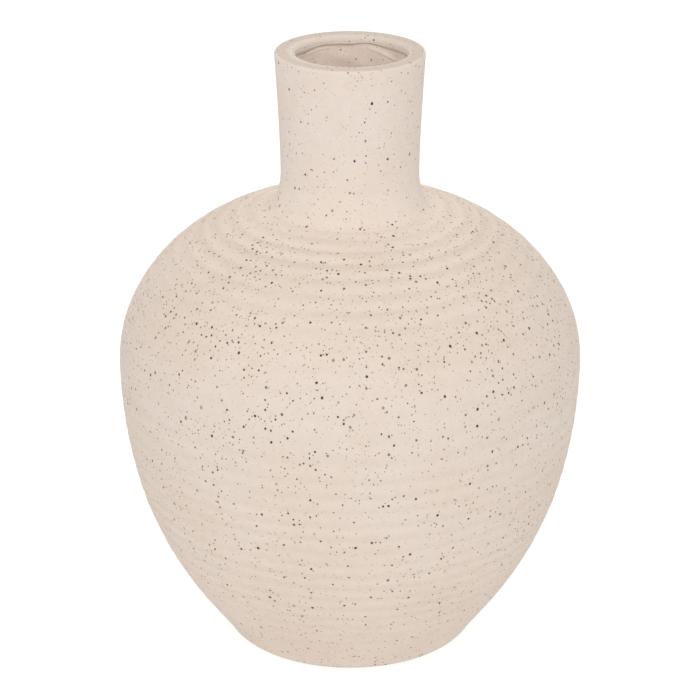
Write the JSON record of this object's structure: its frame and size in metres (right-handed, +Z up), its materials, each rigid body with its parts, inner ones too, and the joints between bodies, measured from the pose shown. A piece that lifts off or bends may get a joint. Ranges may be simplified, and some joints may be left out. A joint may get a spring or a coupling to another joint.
{
  "type": "stoneware bottle vase",
  "caption": "Matte speckled stoneware vase: narrow foot, round belly, straight slightly flared neck with a thick rounded lip.",
  "frame": {"origin": "centre of the foot, on the surface the vase stands on", "axes": "+Z up along the axis the vase is turned about; +X and +Y are any two directions square to it"},
  "size_m": [0.2578, 0.2578, 0.34],
  "materials": {
    "base_clay": "unglazed fired clay, fine sandy grain, trimmed smooth, iron speckles",
    "wall_clay": "matte cream stoneware with throwing rings and dark iron speckles",
    "neck_clay": "matte cream stoneware, smooth, sparse iron speckles",
    "rim_clay": "matte cream stoneware, rounded and sponged lip"
  },
  "bodies": {
    "root": {"base": "base_clay", "lower_wall": "wall_clay", "belly": "wall_clay", "shoulder": "wall_clay", "neck": "neck_clay", "rim": "rim_clay"}
  },
  "joints": []
}
